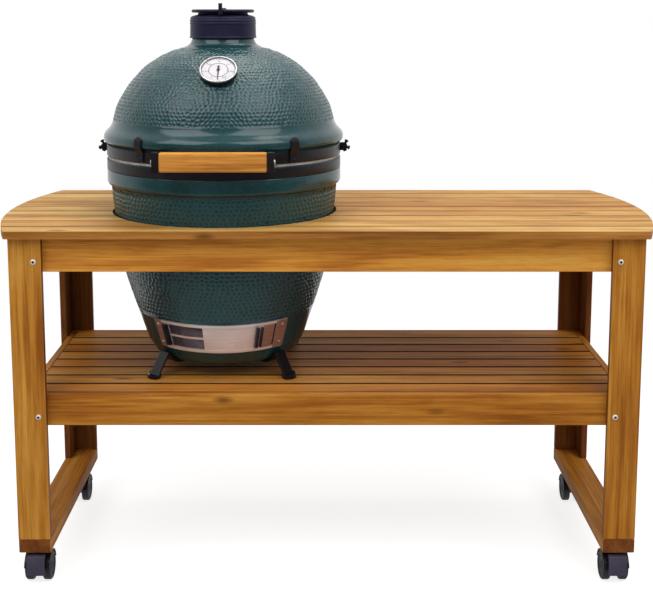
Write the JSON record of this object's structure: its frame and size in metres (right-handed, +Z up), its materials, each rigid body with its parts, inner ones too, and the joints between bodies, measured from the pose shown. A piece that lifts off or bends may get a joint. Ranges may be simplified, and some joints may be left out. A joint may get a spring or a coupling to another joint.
{
  "type": "kamado grill table",
  "caption": "Slatted hardwood table on casters with a ceramic grill standing on its shelf and rising through a round hole in the worktop, with hinged lid, vent, draft door and thermometer.",
  "frame": {"origin": "on the floor, under the middle of the part's bounding box", "axes": "+X along the table to the right, +Y to the back, +Z up; the handle and draft door face -Y"},
  "size_m": [1.5, 0.65, 1.3023],
  "materials": {
    "frame_wood": "satin",
    "top_wood": "satin",
    "shelf_wood": "satin",
    "glazed_clay": "gloss",
    "fire_clay": "matte",
    "felt": "matte",
    "black_steel": "satin",
    "stainless": "satin",
    "iron": "matte",
    "zinc": "satin",
    "hood_plastic": "satin",
    "tread": "matte",
    "pedal_plastic": "satin",
    "dial_white": "satin"
  },
  "bodies": {
    "table": {"leg_front_left": "frame_wood", "leg_front_right": "frame_wood", "leg_back_left": "frame_wood", "leg_back_right": "frame_wood", "foot_board_left": "frame_wood", "foot_board_right": "frame_wood", "top_rail_front": "frame_wood", "top_rail_back": "frame_wood", "top_rail_left": "frame_wood", "top_rail_right": "frame_wood", "shelf_rail_front": "frame_wood", "shelf_rail_back": "frame_wood", "shelf_rail_left": "frame_wood", "shelf_rail_right": "frame_wood", "top_slat_front": "top_wood", "top_slat_back": "top_wood", "top_deck_left": "top_wood", "top_deck_right": "top_wood", "shelf_deck": "shelf_wood", "base_shell": "glazed_clay", "firebox": "fire_clay", "fire_ring": "fire_clay", "base_gasket": "felt", "base_band": "black_steel", "hinge_base_bracket": "black_steel", "hinge_pin": "zinc", "hinge_spring_left": "zinc", "hinge_spring_right": "zinc", "draft_frame": "stainless", "nest": "black_steel"},
    "lid": {"lid_shell": "glazed_clay", "lid_gasket": "felt", "lid_band": "black_steel", "band_bolt_left": "zinc", "band_bolt_right": "zinc", "lid_clip_left": "black_steel", "lid_clip_right": "black_steel", "hinge_lid_bracket": "black_steel", "handle_bar": "top_wood", "handle_bracket_left": "black_steel", "handle_bracket_right": "black_steel", "thermometer_case": "stainless", "thermometer_dial": "dial_white"},
    "needle": {"thermometer_needle": "black_steel"},
    "cap": {"vent_cap": "iron"},
    "damper": {"damper_disc": "iron"},
    "cooking_grid": {"cooking_grid": "stainless"},
    "fire_grate": {"fire_grate": "iron"},
    "draft_door": {"draft_door": "stainless"},
    "draft_screen": {"draft_screen": "stainless"},
    "caster_front_left": {"caster_hood_front_left": "hood_plastic"},
    "wheels_front_left": {"caster_wheels_front_left": "tread"},
    "caster_front_right": {"caster_hood_front_right": "hood_plastic"},
    "wheels_front_right": {"caster_wheels_front_right": "tread"},
    "caster_back_left": {"caster_hood_back_left": "hood_plastic"},
    "wheels_back_left": {"caster_wheels_back_left": "tread"},
    "caster_back_right": {"caster_hood_back_right": "hood_plastic"},
    "wheels_back_right": {"caster_wheels_back_right": "tread"},
    "pedal_left": {"brake_pedal_front_left": "pedal_plastic"},
    "pedal_right": {"brake_pedal_front_right": "pedal_plastic"}
  },
  "joints": [
    {"name": "lid_hinge", "type": "hinge", "parent": "table", "child": "lid", "pos_m": [-0.242, 0.312, 0.95], "axis": [-1, 0, 0], "range_deg": [0, 70], "stiffness_Nm_per_rad": 40, "springref_deg": 71.62},
    {"name": "thermometer_needle_turn", "type": "hinge", "parent": "lid", "child": "needle", "pos_m": [-0.238, -0.19069, 1.14856], "axis": [0, 0.6557, -0.755], "range_deg": [0, 270], "stiffness_Nm_per_rad": 0.01},
    {"name": "cap_lift", "type": "slide", "parent": "lid", "child": "cap", "axis": [0, 0, 1], "range_m": [0, 0.07]},
    {"name": "damper_turn", "type": "hinge", "parent": "cap", "child": "damper", "pos_m": [-0.242, 0, 1.283], "axis": [0, 0, 1], "range_deg": [0, 36]},
    {"name": "grid_lift", "type": "slide", "parent": "table", "child": "cooking_grid", "axis": [0, 0, 1], "range_m": [0, 0.06]},
    {"name": "grate_lift", "type": "slide", "parent": "table", "child": "fire_grate", "axis": [0, 0, 1], "range_m": [0, 0.12]},
    {"name": "draft_door_slide", "type": "hinge", "parent": "table", "child": "draft_door", "pos_m": [-0.242, 0, 0.55], "axis": [0, 0, 1], "range_deg": [-22, 8]},
    {"name": "draft_screen_slide", "type": "hinge", "parent": "table", "child": "draft_screen", "pos_m": [-0.242, 0, 0.55], "axis": [0, 0, 1], "range_deg": [0, 22]},
    {"name": "caster_swivel_front_left", "type": "hinge", "parent": "table", "child": "caster_front_left", "pos_m": [-0.6545, -0.22899, 0.082], "axis": [0, 0, 1], "continuous": true},
    {"name": "wheel_spin_front_left", "type": "hinge", "parent": "caster_front_left", "child": "wheels_front_left", "pos_m": [-0.6545, -0.24699, 0.032], "axis": [1, 0, 0], "continuous": true},
    {"name": "caster_swivel_front_right", "type": "hinge", "parent": "table", "child": "caster_front_right", "pos_m": [0.6545, -0.22899, 0.082], "axis": [0, 0, 1], "continuous": true},
    {"name": "wheel_spin_front_right", "type": "hinge", "parent": "caster_front_right", "child": "wheels_front_right", "pos_m": [0.6545, -0.24699, 0.032], "axis": [1, 0, 0], "continuous": true},
    {"name": "caster_swivel_back_left", "type": "hinge", "parent": "table", "child": "caster_back_left", "pos_m": [-0.6545, 0.22899, 0.082], "axis": [0, 0, 1], "continuous": true},
    {"name": "wheel_spin_back_left", "type": "hinge", "parent": "caster_back_left", "child": "wheels_back_left", "pos_m": [-0.6545, 0.21099, 0.032], "axis": [1, 0, 0], "continuous": true},
    {"name": "caster_swivel_back_right", "type": "hinge", "parent": "table", "child": "caster_back_right", "pos_m": [0.6545, 0.22899, 0.082], "axis": [0, 0, 1], "continuous": true},
    {"name": "wheel_spin_back_right", "type": "hinge", "parent": "caster_back_right", "child": "wheels_back_right", "pos_m": [0.6545, 0.21099, 0.032], "axis": [1, 0, 0], "continuous": true},
    {"name": "brake_pedal_left", "type": "hinge", "parent": "caster_front_left", "child": "pedal_left", "pos_m": [-0.6545, -0.28249, 0.066], "axis": [-1, 0, 0], "range_deg": [0, 25]},
    {"name": "brake_pedal_right", "type": "hinge", "parent": "caster_front_right", "child": "pedal_right", "pos_m": [0.6545, -0.28249, 0.066], "axis": [-1, 0, 0], "range_deg": [0, 25]}
  ]
}
